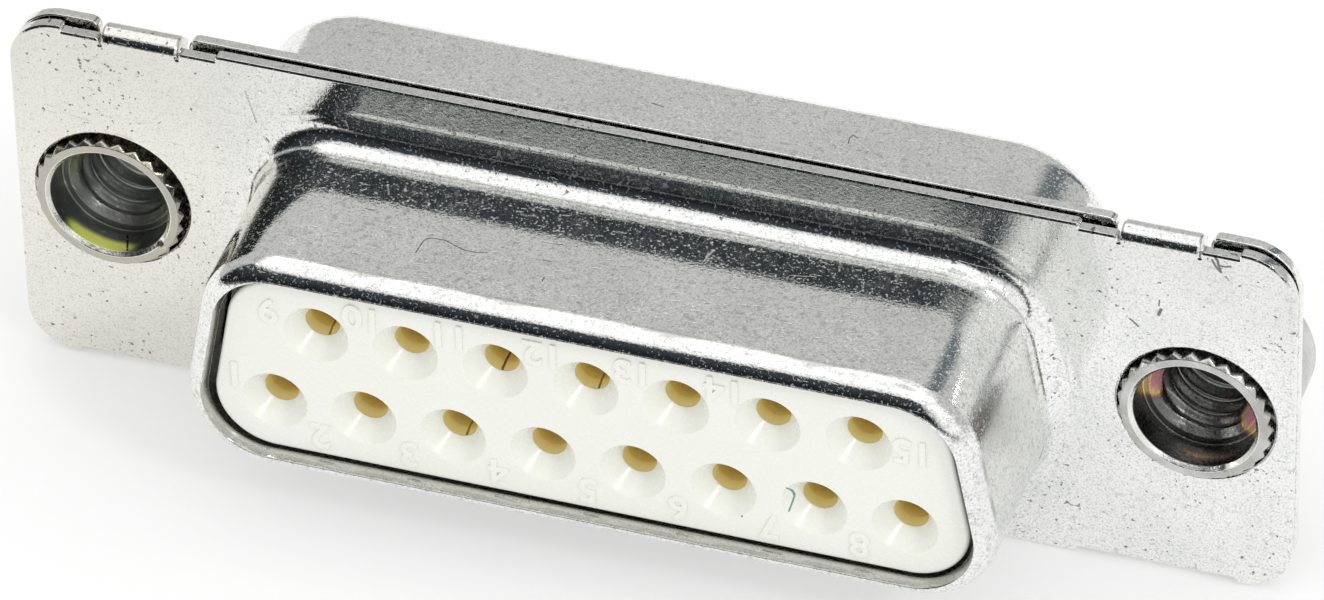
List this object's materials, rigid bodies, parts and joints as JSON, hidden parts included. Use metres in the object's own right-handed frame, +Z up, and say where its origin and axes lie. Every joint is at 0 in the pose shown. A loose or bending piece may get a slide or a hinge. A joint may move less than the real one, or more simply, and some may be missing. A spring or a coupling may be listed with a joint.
{
  "type": "d-sub connector",
  "caption": "Panel D-sub socket connector: plated steel shells with a D-shaped shroud round an off-white insulator with gold socket contacts in two rows, threaded inserts in the flange.",
  "frame": {"origin": "centre of the flange's front face, midway between the two screw holes", "axes": "+X along the flange, to the right as seen from the mating side; -Y out of the mating face; +Z up, towards the shroud's narrow side"},
  "size_m": [0.0392, 0.0136, 0.0126],
  "materials": {
    "shell": "tin plated, satin",
    "insulator": "semi-gloss moulding",
    "contact": "gold plated",
    "insert": "zinc plated, passivated"
  },
  "bodies": {
    "root": {"front_shell": "shell", "rear_shell": "shell", "front_insulator": "insulator", "rear_insulator": "insulator", "left_insert": "insert", "right_insert": "insert", "contact_01": "contact", "contact_02": "contact", "contact_03": "contact", "contact_04": "contact", "contact_05": "contact", "contact_06": "contact", "contact_07": "contact", "contact_08": "contact", "contact_09": "contact", "contact_10": "contact", "contact_11": "contact", "contact_12": "contact", "contact_13": "contact", "contact_14": "contact", "contact_15": "contact"}
  },
  "joints": []
}
